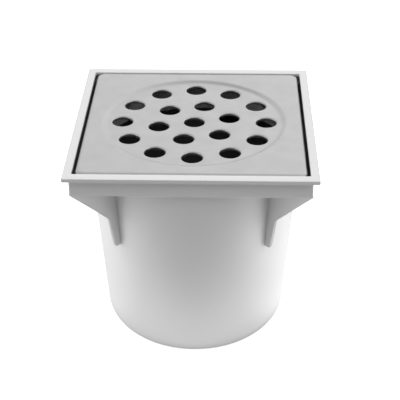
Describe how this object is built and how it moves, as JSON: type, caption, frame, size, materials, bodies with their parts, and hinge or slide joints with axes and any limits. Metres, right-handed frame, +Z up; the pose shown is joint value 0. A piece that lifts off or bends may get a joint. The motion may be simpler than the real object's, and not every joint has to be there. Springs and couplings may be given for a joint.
{
  "type": "floor drain",
  "caption": "Square floor drain with a perforated steel grate, a deep tapered cup, corner gussets, a side outlet socket and a lift-out trap insert.",
  "frame": {"origin": "centre of the flat base that the cup stands on", "axes": "+Z up through the centre of the grate, +Y out of the outlet socket, +X to the right seen from the side away from the outlet"},
  "size_m": [0.1, 0.126, 0.0965],
  "materials": {
    "white_pvc": "moulded, satin",
    "steel_sheet": "satin sheet",
    "black_polypropylene": "moulded, matt",
    "seal_rubber": "matt"
  },
  "bodies": {
    "root": {"drain_body": "white_pvc", "grate": "steel_sheet", "trap_insert": "black_polypropylene", "insert_seal": "seal_rubber"}
  },
  "joints": []
}
